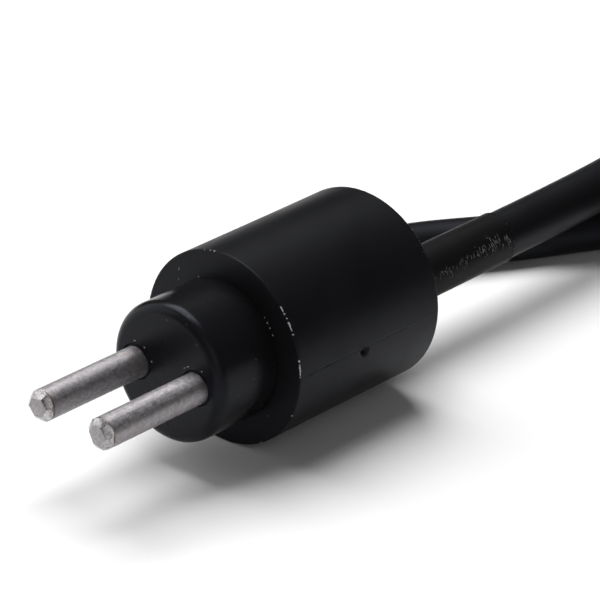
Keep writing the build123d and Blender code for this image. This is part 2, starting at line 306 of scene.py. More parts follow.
plasticLook = {
    "dark": (0.0045, 0.0045, 0.005, 1), "light": (0.008, 0.008, 0.009, 1), "grain": 1400.0, "flow": 90.0,
    "dustSize": 900.0, "dust": 0.09, "dustStrength": 0.25, "dustColour": (0.20, 0.195, 0.19, 1),
    "scuffSize": 700.0, "scuffCover": 0.66, "scuffStrength": 0.12, "scuffColour": (0.04, 0.04, 0.042, 1),
    "scuffWay": (1.0, 0.25, 1.0), "scuffRough": 0.12,
    "rough": (0.36, 0.48), "specular": 0.13, "sheen": (0.78, 0.82, 1.0, 1), "bump": 0.18, "bumpDepth": 0.00002,
}
bodyPlastic = makePlastic("bodyPlastic", plasticLook)
nosePlastic = makePlastic("nosePlastic", {**plasticLook, "rough": (0.22, 0.31), "dustStrength": 0.2, "flow": 70.0})
jacketPlastic = makePlastic("jacketPlastic", {
    **plasticLook, "rough": (0.36, 0.50), "dustStrength": 0.4, "dust": 0.10, "grain": 1800.0, "scuffStrength": 0.10})
reliefPlastic = makePlastic("reliefPlastic", {
    **plasticLook, "dark": (0.0045, 0.0041, 0.0041, 1), "light": (0.0085, 0.008, 0.0079, 1),
    "rough": (0.42, 0.56), "specular": 0.10,
    "scuffWay": (1.0, 0.5, 1.0), "scuffSize": 900.0, "scuffStrength": 0.3, "scuffColour": (0.10, 0.096, 0.092, 1)})
tornPlastic = makePlastic("tornPlastic", {
    **plasticLook, "dark": (0.16, 0.16, 0.16, 1), "light": (0.62, 0.62, 0.61, 1), "grain": 5000.0, "flow": 2500.0,
    "rough": (0.6, 0.8), "specular": 0.3})
frayedPlastic = makePlastic("frayedPlastic", {
    **plasticLook, "dark": (0.02, 0.02, 0.02, 1), "light": (0.26, 0.255, 0.25, 1), "grain": 5000.0, "flow": 1500.0,
    "rough": (0.6, 0.8)})
# black sealant, darker than the nose plastic: painted shade for the pins' countersinks
sealPlastic = makePlastic("sealPlastic", {
    **plasticLook, "dark": (0.003, 0.003, 0.003, 1), "light": (0.005, 0.005, 0.005, 1), "rough": (0.35, 0.5),
    "specular": 0.15})
nylonPlastic = makePlastic("nylonPlastic", {**plasticLook, "rough": (0.30, 0.40), "flow": 200.0})
redPlastic = makePlastic("redPlastic", {
    **plasticLook, "dark": (0.36, 0.02, 0.015, 1), "light": (0.46, 0.03, 0.02, 1), "rough": (0.32, 0.42)})
palePlastic = makePlastic("palePlastic", {
    **plasticLook, "dark": (0.62, 0.62, 0.58, 1), "light": (0.74, 0.74, 0.70, 1), "rough": (0.28, 0.38)})


def makeMetal(name, look):
    material, tree, shader, place = newMaterial(name)
    metal = useGroup(tree, "drawnMetal", {
        "Vector": place, "Way": look["drawAndBandWay"], "DrawSize": look["drawSize"], "MottleSize": look["mottleSize"],
        "StainSize": look["stainSize"]})
    tone = blendColours(tree, metal["Mottle"], look["dark"], look["light"])
    # dark streaks laid along the rod: drawing marks, and also painted reflection bands
    streak = maths(tree, "MULTIPLY", metal["Streak"], look["streak"])
    stain = maths(tree, "MULTIPLY", metal["Stain"], look["stain"])
    streakedAndBanded = blendColours(tree, streak, tone, look["streakAndPaintedBandColour"])
    tree.links.new(blendColours(tree, stain, streakedAndBanded, look["stainColour"]), shader.inputs["Base Color"])
    shader.inputs["Metallic"].default_value = 1.0
    rough = span(tree, metal["Mottle"], 0.0, 1.0, look["rough"][0], look["rough"][1])
    tree.links.new(rough, shader.inputs["Roughness"])
    bumpFrom(tree, shader, metal["Height"], look["bump"], look["bumpDepth"])
    return material


# the streak values lay long dark bands on the pins: drawing marks and also painted reflection bands
steelLook = {
    "dark": (0.27, 0.255, 0.267, 1), "light": (0.47, 0.45, 0.468, 1), "drawAndBandWay": (1.0, 0.03, 1.0), "drawSize": 2500.0,
    "mottleSize": 2600.0, "stainSize": 420.0, "streak": 0.45, "streakAndPaintedBandColour": (0.20, 0.19, 0.19, 1),
    "stain": 0.45, "stainColour": (0.26, 0.20, 0.16, 1), "rough": (0.46, 0.62), "bump": 0.40, "bumpDepth": 0.00002,
}
pinSteel = makeMetal("pinSteel", steelLook)
facetSteel = makeMetal("facetSteel", {
    **steelLook, "light": (0.58, 0.565, 0.57, 1), "dark": (0.26, 0.245, 0.25, 1), "rough": (0.20, 0.32), "streak": 0.3})
tarnishedSteel = makeMetal("tarnishedSteel", {
    **steelLook, "light": (0.25, 0.205, 0.175, 1), "dark": (0.13, 0.10, 0.085, 1), "mottleSize": 1500.0})
tinPlate = makeMetal("tinPlate", {
    **steelLook, "dark": (0.62, 0.61, 0.58, 1), "light": (0.78, 0.77, 0.74, 1), "streak": 0.1, "stain": 0.1})
bareCopper = makeMetal("bareCopper", {
    **steelLook, "dark": (0.66, 0.30, 0.17, 1), "light": (0.82, 0.42, 0.26, 1), "streak": 0.2, "stain": 0.2})
print("finishes are made")


# Small tools for selecting and editing a mesh.
def clearSelection():
    bpy.ops.object.select_all(action="DESELECT")


def selectOnly(piece):
    clearSelection()
    piece.select_set(True)
    bpy.context.view_layer.objects.active = piece


def editMesh(piece):
    bpy.context.view_layer.objects.active = piece
    piece.select_set(True)
    bpy.ops.object.mode_set(mode="EDIT")
    bpy.ops.mesh.select_mode(type="VERT")
    bpy.ops.mesh.select_all(action="DESELECT")


def editWhole(piece):
    editMesh(piece)
    bpy.ops.mesh.select_all(action="SELECT")


def closeMesh():  # turns every face outward and leaves edit mode
    bpy.ops.mesh.select_all(action="SELECT")
    bpy.ops.mesh.normals_make_consistent(inside=False)
    bpy.ops.object.mode_set(mode="OBJECT")


def pickWhere(piece, kind, test):
    bpy.ops.mesh.select_mode(type={"edges": "EDGE", "faces": "FACE"}[kind])
    bpy.ops.mesh.select_all(action="DESELECT")
    mesh = bmesh.from_edit_mesh(piece.data)
    for item in getattr(mesh, kind):
        item.select_set(bool(test(item)))
    mesh.select_flush_mode()
    bmesh.update_edit_mesh(piece.data)


def applyPlace():
    bpy.ops.object.transform_apply(location=True, rotation=True, scale=True)


def joinPieces(pieces, name):
    clearSelection()
    for piece in pieces:
        piece.select_set(True)
    bpy.context.view_layer.objects.active = pieces[0]
    bpy.ops.object.join()
    whole = bpy.context.object
    whole.name = name
    return whole


# A turned blank: a disc is extruded and resized from station to station along the head.
def turnPiece(name, x, z, stations, segments):
    clearSelection()
    startY, startRadius = stations[0]
    bpy.ops.mesh.primitive_circle_add(
        vertices=segments, radius=startRadius, fill_type="NGON", location=(x, startY, z), rotation=upright)
    piece = bpy.context.object
    piece.name = name
    applyPlace()
    bpy.ops.object.mode_set(mode="EDIT")
    bpy.ops.mesh.select_mode(type="FACE")
    bpy.ops.mesh.select_all(action="SELECT")
    lastY, lastRadius = startY, startRadius
    for y, radius in stations[1:]:
        bpy.ops.mesh.extrude_region_move(TRANSFORM_OT_translate={"value": (0, y - lastY, 0)})
        grow = radius / lastRadius
        bpy.ops.transform.resize(value=(grow, 1, grow), center_override=(x, y, z))
        lastY, lastRadius = y, radius
    closeMesh()
    return piece


def arcStations(centreY, centreRadius, size, startAngle, endAngle, steps):
    stations = []
    for step in range(steps + 1):
        angle = math.radians(startAngle + (endAngle - startAngle) * step / steps)
        stations.append((centreY + size * math.cos(angle), centreRadius + size * math.sin(angle)))
    return stations


def evenStations(startY, endY, startRadius, endRadius, steps):
    return [(startY + (endY - startY) * step / steps, startRadius + (endRadius - startRadius) * step / steps)
            for step in range(steps + 1)]


# Moves every point of a turned piece out or in by what shape(angle, y, radius) says.
def carveRound(piece, x, z, shape):
    mesh = piece.data
    for vertex in mesh.vertices:
        outX, outZ = vertex.co.x - x, vertex.co.z - z
        radius = math.hypot(outX, outZ)
        if radius < 1e-6:
            continue
        angle = math.degrees(math.atan2(outZ, outX))
        moveOut, moveY = shape(angle, vertex.co.y, radius)
        vertex.co.x += outX / radius * moveOut
        vertex.co.z += outZ / radius * moveOut
        vertex.co.y += moveY
    mesh.update()


def refineBand(piece, test, cuts):
    editMesh(piece)
    pickWhere(piece, "faces", test)
    bpy.ops.mesh.subdivide(number_cuts=cuts)
    bpy.ops.object.mode_set(mode="OBJECT")


def smoothPiece(piece, angle):
    selectOnly(piece)
    bpy.ops.object.shade_smooth_by_angle(angle=math.radians(angle))


def finishPiece(piece, material, nodes=()):
    if piece.type == "MESH":
        selectOnly(piece)
        applyPlace()
    if not piece.data.materials:
        piece.data.materials.append(material)
    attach(piece, "root")
    for node in nodes:
        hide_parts(node)


def hump(value, centre, width):
    return math.exp(-((value - centre) / width) ** 2)


def ramp(value, start, end):
    share = min(1.0, max(0.0, (value - start) / (end - start)))
    return share * share * (3 - 2 * share)


def grainAt(a, b, c=0.0):
    return noise.noise(Vector((a, b, c)))


# The lead runs from the relief to its coil, round the coil, back under itself and along the head. Its two routes are
# in millimetres from the barrel's back, and turnOrder gives the column and the layer of each turn, counted from 1.
leadWay = {
    "start": [(0, 20, 8.4), (0, 43.35, 8.4), (-3.6, 55.55, 8.0)],
    "end": [(11.5, 52.25, 2.6), (0.7, 44.85, 2.6), (-6.2, 30.8, 2.6), (-13.6, 20.1, 2.6), (-16.28, 10.88, 2.6)],
    "diameter": 5.2 * mm,
    "coilMiddle": (12.55 * mm, 91.0 * mm),
    "turnRadius": (0, 22.4 * mm, 27.6 * mm),
    "layerHeight": (0, 2.6 * mm, 7.8 * mm, 13.0 * mm, 18.2 * mm),
    "turnOrder": [(2, 2), (2, 3), (2, 4), (1, 4), (1, 3), (1, 2), (1, 1), (2, 1)],
    "pointsPerTurn": 16, "firstAngle": 225, "steps": 126, "changeAt": 310, "changeOver": 38,
    "tieAngle": 45.0, "tieLift": 1.2 * mm, "tieReach": 28, "tieHold": 40, "loose": 0.35 * mm, "looseStep": 0.31,
    "length": 1.33, "roundness": 10,
}


def fromExit(point):
    return Vector((cableX + point[0] * mm, backY + point[1] * mm, point[2] * mm))


def coilPoints(way):
    perTurn = way["pointsPerTurn"]
    middle = way["coilMiddle"]
    outside = 1 / math.cos(math.pi / perTurn)  # control points stand a little outside the line
    last = len(way["turnOrder"]) - 1
    points = []
    for step in range(1, way["steps"]):
        wound = 360.0 * step / perTurn
        passed = wound - way["changeAt"]
        turn = math.floor(passed / 360)
        share = ramp(passed - 360 * turn, 0, way["changeOver"])
        start = way["turnOrder"][min(max(turn, 0), last)]
        end = way["turnOrder"][min(turn + 1, last)]
        radius = way["turnRadius"][start[0]] * (1 - share) + way["turnRadius"][end[0]] * share
        height = way["layerHeight"][start[1]] * (1 - share) + way["layerHeight"][end[1]] * share
        angle = way["firstAngle"] - wound
        fromTie = (angle - way["tieAngle"] + 180) % 360 - 180
        height += way["tieLift"] * hump(fromTie, 0, way["tieReach"])
        loose = way["loose"] * grainAt(step * way["looseStep"], 4.0) * (1 - hump(fromTie, 0, way["tieHold"]))
        reach = (radius + loose) * outside
        around = math.radians(angle)
        points.append(Vector((middle[0] + reach * math.cos(around), middle[1] + reach * math.sin(around), height)))
    return points


def layCurve(name, points, diameter, roundness):
    data = bpy.data.curves.new(name, "CURVE")
    data.dimensions = "3D"
    spline = data.splines.new("NURBS")
    spline.points.add(len(points) - 1)
    for made, point in zip(spline.points, points):
        made.co = (point[0], point[1], point[2], 1.0)
    spline.order_u = 3  # set after the points, or it stays straight
    spline.use_endpoint_u = True
    spline.resolution_u = 8
    data.bevel_depth = diameter / 2
    data.bevel_resolution = roundness
    data.use_fill_caps = True
    piece = bpy.data.objects.new(name, data)
    bpy.context.scene.collection.objects.link(piece)
    return piece


leadPoints = [fromExit(point) for point in leadWay["start"]] + coilPoints(leadWay) + [
    fromExit(point) for point in leadWay["end"]]
lead = layCurve("lead", leadPoints, leadWay["diameter"], leadWay["roundness"])
finishPiece(lead, jacketPlastic, ("cable_root", "cable_lead", "cable_coil", "cable_tail"))
print("the lead and its coil are laid")


# The two cores between the cut jacket and their ferrules.
tailCore = {
    "diameter": 2.1 * mm, "roundness": 6,
    "left": [(-16.9, 12.6, 2.6), (-17.32, 11.18, 2.6), (-18.6, 6.8, 2.6), (-18.0, 0.5, 1.45), (-18.0, -3.0, 1.45)],
    "right": [(-14.8, 12.0, 2.6), (-15.24, 10.58, 2.6), (-16.44, 6.45, 2.6), (-14.8, 0.5, 1.45), (-14.8, -3.0, 1.45)],
}
for side, material, slotName in (("left", jacketPlastic, "core_black"), ("right", redPlastic, "core_red")):
    route = [fromExit(point) for point in tailCore[side]]
    core = layCurve("tailCore." + side, route, tailCore["diameter"], tailCore["roundness"])
    finishPiece(core, material, ("tail_core_" + side,))


# The head: a barrel with a slight waist, a parting line on each side and a moulding pit beside one of them.
barrel = {
    "segments": 360, "rows": 76, "rimRound": 0.10 * mm, "backRound": 0.40 * mm,
    "frontRings": (6.9, 7.25, 7.5, 8.0, 8.5, 9.0, 9.4, 9.7), "backRings": (8.4, 7.6, 6.6, 5.6, 4.8, 4.0),
    "flatMargin": 1.2 * mm, "rootRing": 7.25 * mm, "rootBead": 0.05 * mm, "endRipple": 0.010 * mm,
    "sideRipple": 0.012 * mm, "grooveStart": (frontY + 0.8 * mm, frontY + 1.6 * mm),
    "grooveEnd": (-3.6 * mm, -2.6 * mm), "ridgeStart": (5.6 * mm, 6.6 * mm), "faintDepth": 0.02 * mm,
    "waist": 0.020 * mm, "ridgeAngle": 1.4, "ridgeHeight": 0.09 * mm, "ridgeWidth": 0.35,
    "grooveDepth": 0.07 * mm, "pitAngle": -1.5, "pitY": -0.16 * mm, "pitSize": 0.55 * mm, "pitDepth": 0.45 * mm,
    "pitLip": 0.02 * mm, "creaseAngle": 38,
}


def barrelStations(settings):
    rim, back = settings["rimRound"], settings["backRound"]
    stations = [(frontY, radius * mm) for radius in settings["frontRings"]]
    stations += arcStations(frontY + rim, bodyRadius - rim, rim, 180, 90, 3)
    stations += evenStations(frontY + 0.3 * mm, backY - back - 0.2 * mm, bodyRadius, bodyRadius, settings["rows"])
    stations += arcStations(backY - back, bodyRadius - back, back, 90, 0, 10)
    stations += [(backY, radius * mm) for radius in settings["backRings"]]
    return stations


def barrelShape(angle, y, radius):
    share = (y - frontY) / (backY - frontY)
    if radius < bodyRadius - barrel["flatMargin"]:
        # the two flat ends: a little sink and ripple, and a broken bead round the nose's root
        ripple = barrel["endRipple"] * grainAt(radius * 600, angle * 0.05, 3.0)
        if y < frontY + 0.5 * mm and abs(radius - barrel["rootRing"]) < 0.05 * mm:
            torn = max(0.0, grainAt(angle * 0.11, 7.0))
            return 0.0, ripple * 0.3 + barrel["rootBead"] * torn
        return 0.0, abs(ripple)
    moveOut = -barrel["waist"] * math.sin(math.pi * min(1.0, max(0.0, share)))
    moveOut -= barrel["sideRipple"] * (0.5 + 0.5 * grainAt(angle * 0.04, y * 90, 1.0))
    for seam in (barrel["ridgeAngle"], 180.0):
        away = (angle - seam + 180) % 360 - 180
        if abs(away) > 4:
            continue
        uneven = 0.6 + 0.6 * grainAt(y * 900, seam, 5.0)
        sunk = ramp(y, *barrel["grooveStart"]) * (1 - ramp(y, *barrel["grooveEnd"]))
        raised = ramp(y, *barrel["ridgeStart"])
        between = 1 - sunk - raised
        line = hump(away, 0, barrel["ridgeWidth"])
        moveOut -= barrel["grooveDepth"] * sunk * uneven * line
        moveOut -= barrel["faintDepth"] * max(0.0, between) * line
        moveOut += barrel["ridgeHeight"] * 0.35 * raised * uneven * hump(away, 0, barrel["ridgeWidth"] * 0.6)
    acrossPit = math.radians(angle - barrel["pitAngle"]) * bodyRadius
    fromPit = math.hypot(acrossPit, (y - barrel["pitY"]) * 0.85)
    if fromPit < 2.5 * barrel["pitSize"]:
        lumpy = 1 + 0.35 * grainAt(acrossPit * 2200, y * 2200, 9.0)
        moveOut -= barrel["pitDepth"] * hump(fromPit * lumpy, 0, barrel["pitSize"] * 0.62)
        moveOut += barrel["pitLip"] * hump(fromPit, barrel["pitSize"] * 1.1, barrel["pitSize"] * 0.25)
    return moveOut, 0.0


body = turnPiece("barrel", 0, axisZ, barrelStations(barrel), barrel["segments"])


def nearSeam(face):
    middle = face.calc_center_median()
    if not frontY + 0.2 * mm < middle.y < backY - 0.2 * mm or len(face.verts) > 4:
        return False
    angle = math.degrees(math.atan2(middle.z - axisZ, middle.x))
    return abs(angle - barrel["ridgeAngle"]) < 1.5 or abs(abs(angle) - 180) < 1.0


def nearPit(face):
    middle = face.calc_center_median()
    if len(face.verts) > 4 or middle.x < 0:
        return False
    across = math.atan2(middle.z - axisZ, middle.x) - math.radians(barrel["pitAngle"])
    return math.hypot(across * bodyRadius, middle.y - barrel["pitY"]) < 1.2 * mm and abs(middle.y) < 3 * mm


refineBand(body, nearSeam, 3)
refineBand(body, nearPit, 2)
carveRound(body, 0, axisZ, barrelShape)
smoothPiece(body, barrel["creaseAngle"])
finishPiece(body, bodyPlastic, ("overmould_body",))
print("the barrel is turned", len(body.data.polygons))


# The stepped nose, with a soft front edge and a shallow countersink round each pin.
nose = {
    "segments": 256, "edgeRound": 1.15 * mm, "pinHole": 1.84 * mm, "pinHoleDepth": 0.35 * mm, "ripple": 0.015 * mm,
    "creaseAngle": 30,
}


def noseStations(settings):
    size = settings["edgeRound"]
    stations = [(noseY, 1.2 * mm), (noseY, 3.0 * mm)]
    stations += arcStations(noseY + size, noseRadius - size, size, 180, 90, 16)
    stations += evenStations(noseY + size + 0.2 * mm, frontY + 0.25 * mm, noseRadius, noseRadius, 22)
    return stations


def noseShape(angle, y, radius):
    if radius < noseRadius - nose["edgeRound"]:
        return 0.0, 0.0
    return -abs(nose["ripple"] * grainAt(angle * 0.05, y * 300, 11.0)), 0.0


noseBlank = turnPiece("noseStep", 0, axisZ, noseStations(nose), nose["segments"])
carveRound(noseBlank, 0, axisZ, noseShape)


def sinkHoles(piece, settings):
    for sign in (-1, 1):
        clearSelection()
        bpy.ops.mesh.primitive_cylinder_add(
            vertices=72, radius=settings["pinHole"], depth=2 * settings["pinHoleDepth"],
            location=(sign * pinSpacing / 2, noseY, axisZ), rotation=upright)
        cutter = bpy.context.object
        selectOnly(piece)
        cut = piece.modifiers.new("sink", "BOOLEAN")
        cut.operation = "DIFFERENCE"
        cut.solver = "EXACT"
        cut.object = cutter
        bpy.ops.object.modifier_apply(modifier=cut.name)
        bpy.data.objects.remove(cutter, do_unlink=True)


sinkHoles(noseBlank, nose)
smoothPiece(noseBlank, nose["creaseAngle"])
finishPiece(noseBlank, nosePlastic, ("pin_carrier",))
print("the nose is turned and sunk", len(noseBlank.data.polygons))


# Two drawn rods whose ends are clipped by six slanted cuts round a small flat. Their long dark streaks are drawing
# marks and also painted reflection bands.
pin = {
    "radius": 1.6 * mm, "segments": 96, "tipY": noseY - 13.4 * mm, "flatRadius": 0.97 * mm, "cuts": 6,
    "cutAngle": 45.0, "burr": 0.05 * mm, "aroundSpread": 7, "slantSpread": 5, "reachSpread": (0.90, 1.06),
    "drawMarks": 0.010 * mm, "nicks": 0.022 * mm, "facetLong": 0.75 * mm, "tarnishAt": 0.72 * mm,
    "tarnishHalf": 0.14 * mm, "creaseAngle": 28,
}


def makePin(side, sign, seed):
    random.seed(seed)
    x = sign * pinSpacing / 2
    stations = evenStations(pin["tipY"], pin["tipY"] + 2.0 * mm, pin["radius"], pin["radius"], 10)
    stations += evenStations(pin["tipY"] + 2.5 * mm, noseY + 1.5 * mm, pin["radius"], pin["radius"], 26)
    rod = turnPiece("pin." + side, x, axisZ, stations, pin["segments"])

    def wear(angle, y, radius):
        if radius < pin["radius"] * 0.9:
            return 0.0, 0.0
        long = pin["drawMarks"] * grainAt(angle * 0.03, y * 250, seed)
        nick = pin["nicks"] * max(0.0, grainAt(angle * 0.12, y * 1600, seed + 4.0) - 0.35)
        return -abs(long) - nick, 0.0

    carveRound(rod, x, axisZ, wear)
    turnBy = random.uniform(0, 60)
    for cut in range(pin["cuts"]):
        around = math.radians(turnBy + 60 * cut + random.uniform(-pin["aroundSpread"], pin["aroundSpread"]))
        slant = math.radians(pin["cutAngle"] + random.uniform(-pin["slantSpread"], pin["slantSpread"]))
        reach = pin["flatRadius"] * random.uniform(*pin["reachSpread"])
        outward = Vector((math.cos(around), 0, math.sin(around)))
        place = Vector((x, pin["tipY"], axisZ)) + outward * reach
        normal = outward * math.sin(slant) - Vector((0, math.cos(slant), 0))
        editWhole(rod)
        bpy.ops.mesh.bisect(plane_co=place, plane_no=normal, use_fill=True, clear_outer=True, threshold=1e-7)
        bpy.ops.object.mode_set(mode="OBJECT")
    editMesh(rod)  # each slanted cut keeps a fine burr along its edge

    def cutEdge(edge):
        faces = edge.link_faces
        if len(faces) != 2 or max(v.co.y for v in edge.verts) > pin["tipY"] + 0.9 * mm:
            return False
        return faces[0].normal.angle(faces[1].normal, 0) > math.radians(20)

    pickWhere(rod, "edges", cutEdge)
    bpy.ops.mesh.bevel(offset=pin["burr"], segments=2, affect="EDGES", clamp_overlap=True)
    closeMesh()
    for material in (pinSteel, facetSteel, tarnishedSteel):
        rod.data.materials.append(material)
    for face in rod.data.polygons:  # bright facets, and a tarnished ring behind them
        if face.center.y < pin["tipY"] + pin["facetLong"] and 0.35 < -face.normal.y < 0.93:
            face.material_index = 1
        elif abs(face.center.y - pin["tipY"] - pin["tarnishAt"]) < pin["tarnishHalf"]:
            face.material_index = 2
    smoothPiece(rod, pin["creaseAngle"])
    finishPiece(rod, pinSteel, ("electrode_" + side,))


for side, sign, seed in (("left", -1, 5), ("right", 1, 12)):
    makePin(side, sign, seed)
print("the pins are cut")


# A low ring of sealant that fills each pin's countersink, with an uneven face. Its finish is darker than the nose
# plastic, as painted shade in the countersink.
seal = {
    "inner": 1.62 * mm, "outer": 1.83 * mm, "height": 0.02 * mm, "fall": 0.44 * mm, "ripple": 0.05 * mm,
    "segments": 96, "creaseAngle": 40,
}


def makeSeal(side, sign):
    x = sign * pinSpacing / 2
    top, low = noseY - seal["height"], noseY + 0.6 * mm
    stations = [(top, seal["inner"] * 0.9), (top, seal["inner"])]
    for step in range(1, 9):  # a quarter round from the pin to the countersink's wall
        quarter = math.pi * step / 16
        stations.append((
            top + seal["fall"] * (1 - math.cos(quarter)),
            seal["inner"] + (seal["outer"] - seal["inner"]) * math.sin(quarter)))
    stations += [(low, seal["outer"]), (low + 0.2 * mm, seal["outer"])]
    ring = turnPiece("pinSeal." + side, x, axisZ, stations, seal["segments"])

    def uneven(angle, y, radius):
        turn = math.radians(angle)
        ripple = seal["ripple"] * grainAt(math.cos(turn) * 2.2, math.sin(turn) * 2.2, sign * 3.0)
        return (0.0, ripple) if y < noseY + 0.2 * mm else (0.0, 0.0)

    carveRound(ring, x, axisZ, uneven)
    smoothPiece(ring, seal["creaseAngle"])
    # the darker sealant finish is painted shade in the countersink
    finishPiece(ring, sealPlastic, ("pin_seal_" + side,))


for side, sign in (("left", -1), ("right", 1)):
    makeSeal(side, sign)


# The strain relief: a tapered root on the barrel, then a thin sleeve on the jacket up to its mouth.
relief = {
    "rootRadius": 4.0 * mm, "mouthRadius": 2.75 * mm, "taper": 6.0 * mm, "rootRound": 0.6 * mm, "segments": 160,
    "seamAngle": 8.0, "swell": 0.05 * mm, "ripple": 0.015 * mm, "ridgeHeight": 0.05 * mm, "ridgeSpread": 11,
    "creaseAngle": 34,
}


def reliefStations(settings):
    root, mouth, size = settings["rootRadius"], settings["mouthRadius"], settings["rootRound"]
    taperY = backY + settings["taper"]
    stations = [(backY - 0.6 * mm, root + 0.5 * size), (backY - 0.02 * mm, root + 0.5 * size)]
    for step in range(1, 8):
        share = step / 8
        stations.append((backY + size * share * share, root + 0.5 * size * (1 - share) ** 2))
    swollen = mouth + settings["swell"]
    stations += evenStations(backY + size, taperY, root - 0.10 * mm, swollen, 30)
    stations += evenStations(taperY + 0.3 * mm, mouthY - 0.35 * mm, swollen, mouth, 34)
    stations += [(mouthY - 0.12 * mm, mouth + 0.03 * mm), (mouthY - 0.03 * mm, mouth), (mouthY, mouth - 0.10 * mm)]
    return stations


def reliefShape(angle, y, radius):
    away = (angle - relief["seamAngle"] + 180) % 360 - 180
    moveOut = -relief["ripple"] * (0.5 + 0.5 * grainAt(angle * 0.05, y * 200, 21.0))
    if y > backY + 1.0 * mm and abs(away) < 24:
        ridges = max(0.0, grainAt(y * 1500, angle * 0.05, 31.0))
        moveOut += relief["ridgeHeight"] * ridges * hump(away, 0, relief["ridgeSpread"])
    return moveOut, 0.0


sleeve = turnPiece("strainRelief", cableX, cableZ, reliefStations(relief), relief["segments"])
carveRound(sleeve, cableX, cableZ, reliefShape)
smoothPiece(sleeve, relief["creaseAngle"])
finishPiece(sleeve, reliefPlastic)
print("the strain relief is turned")


# Torn flash: many small ragged flakes that stand on a surface, modelled as one piece. Each flake is a stub with a
# narrow top, pulled out of round. A place is its point, its outward and long directions, length, width and height.
flakeShape = {"corners": 7, "top": 0.55, "sunk": 0.35, "ragged": (0.6, 1.25), "lift": (0.7, 1.2), "creaseAngle": 20}


def scatterFlakes(name, places, seed):
    random.seed(seed)
    flakes = []
    for point, outward, along, length, width, height in places:
        clearSelection()
        bpy.ops.mesh.primitive_circle_add(
            vertices=flakeShape["corners"], radius=1.0, fill_type="NGON", location=(0, 0, 0))
        flake = bpy.context.object
        editWhole(flake)
        bpy.ops.mesh.extrude_region_move(TRANSFORM_OT_translate={"value": (0, 0, 1.0)})
        bpy.ops.transform.resize(value=(flakeShape["top"], flakeShape["top"], 1), center_override=(0, 0, 1.0))
        closeMesh()
        across = outward.cross(along).normalized()
        for vertex in flake.data.vertices:
            ragged = random.uniform(*flakeShape["ragged"])
            lift = (vertex.co.z - flakeShape["sunk"]) * height * random.uniform(*flakeShape["lift"])
            vertex.co = (point + along * (vertex.co.x * length / 2 * ragged)
                         + across * (vertex.co.y * width / 2 * ragged) + outward * lift)
        flakes.append(flake)
    piece = joinPieces(flakes, name)
    editMesh(piece)
    closeMesh()
    smoothPiece(piece, flakeShape["creaseAngle"])
    return piece


def roundDirections(angle):
    turn = math.radians(angle)
    return Vector((math.cos(turn), 0, math.sin(turn))), Vector((-math.sin(turn), 0, math.cos(turn)))


# Flash on the front rim, as (angle, length in mm, height in mm), and specks round the nose's root.
rimFlash = [
    (43.0, 0.60, 0.22), (41.6, 0.42, 0.16), (39.8, 0.30, 0.12), (37.0, 0.22, 0.08), (34.0, 0.46, 0.12),
    (32.2, 0.62, 0.17), (30.4, 0.46, 0.12), (27.5, 0.24, 0.07), (12.0, 0.40, 0.08), (9.8, 0.26, 0.10),
    (8.2, 0.66, 0.17), (6.2, 0.54, 0.19), (4.2, 0.46, 0.15), (2.4, 0.24, 0.08), (98.5, 0.30, 0.12),
    (101.5, 0.22, 0.09), (106.0, 0.12, 0.06), (-24.0, 0.25, 0.05), (-58.0, 0.30, 0.05), (150.0, 0.30, 0.06),
    (205.0, 0.26, 0.05), (246.0, 0.34, 0.06),
]
rootFlash = [
    (30.0, 0.26, 0.07), (35.5, 0.20, 0.06), (40.0, 0.30, 0.06), (44.5, 0.16, 0.05), (118.0, 0.20, 0.05),
    (214.0, 0.3, 0.05),
]
faceScratches = [(-6.0, 16.4, 0.62), (-6.0, 15.3, 0.30)]  # x, z and length in mm, on the front face
pinFlash = {  # (angle, length in mm) round the left pin and round the right pin
    -1: ((95, 0.35), (60, 0.26), (20, 0.22), (200, 0.3)), 1: ((118, 0.36), (132, 0.22), (70, 0.2), (250, 0.3)),
}
towardsPins = Vector((0, -1, 0))


def makeRimFlash():
    places = []
    for angle, length, height in rimFlash:
        outward, sideways = roundDirections(angle)
        slanted = (outward + Vector((0, -1.2, 0))).normalized()
        point = Vector((0, frontY + 0.05 * mm, axisZ)) + outward * (bodyRadius - 0.05 * mm)
        places.append((point, slanted, sideways, length * mm, 0.20 * mm, height * mm))
    for angle, length, height in rootFlash:
        outward, sideways = roundDirections(angle)
        point = Vector((0, frontY, axisZ)) + outward * (noseRadius + 0.10 * mm)
        places.append((point, towardsPins, sideways, length * mm, 0.12 * mm, height * mm))
    for x, z, length in faceScratches:
        point = Vector((x * mm, frontY, z * mm))
        steep = Vector((0.35, 0, 1)).normalized()
        places.append((point, towardsPins, steep, length * mm, 0.07 * mm, 0.03 * mm))
    piece = scatterFlakes("rimFlash", places, 41)
    finishPiece(piece, tornPlastic)


def makeReliefFlash():
    random.seed(77)
    places = []
    length = mouthY - backY
    for step in range(150):
        share = random.random() ** 0.7
        y = backY + 1.2 * mm + share * (length - 2.0 * mm)
        angle = relief["seamAngle"] + 20 * share + random.gauss(0, 2.5 + 6.5 * share)
        taper = min(1.0, (y - backY) / relief["taper"])
        radius = relief["rootRadius"] * (1 - taper) + (relief["mouthRadius"] + relief["swell"]) * taper
        outward, sideways = roundDirections(angle)
        point = Vector((cableX, y, cableZ)) + outward * (radius - 0.01 * mm)
        crosswise = (sideways + Vector((0, random.uniform(-0.5, 0.3), 0))).normalized()
        size = random.uniform(0.10, 0.36 + 0.45 * share)
        width, height = random.uniform(0.04, 0.10), random.uniform(0.03, 0.07)
        places.append((point, outward, crosswise, size * mm, width * mm, height * mm))
    for step in range(30):  # the broken ring at the sleeve's mouth
        angle = relief["seamAngle"] + random.uniform(-22, 62)
        outward, sideways = roundDirections(angle)
        y = mouthY - random.uniform(0.10, 0.35) * mm
        point = Vector((cableX, y, cableZ)) + outward * (relief["mouthRadius"] - 0.01 * mm)
        places.append((point, outward, sideways, random.uniform(0.12, 0.4) * mm, 0.05 * mm, 0.03 * mm))
    piece = scatterFlakes("reliefFlash", places, 43)
    finishPiece(piece, frayedPlastic)


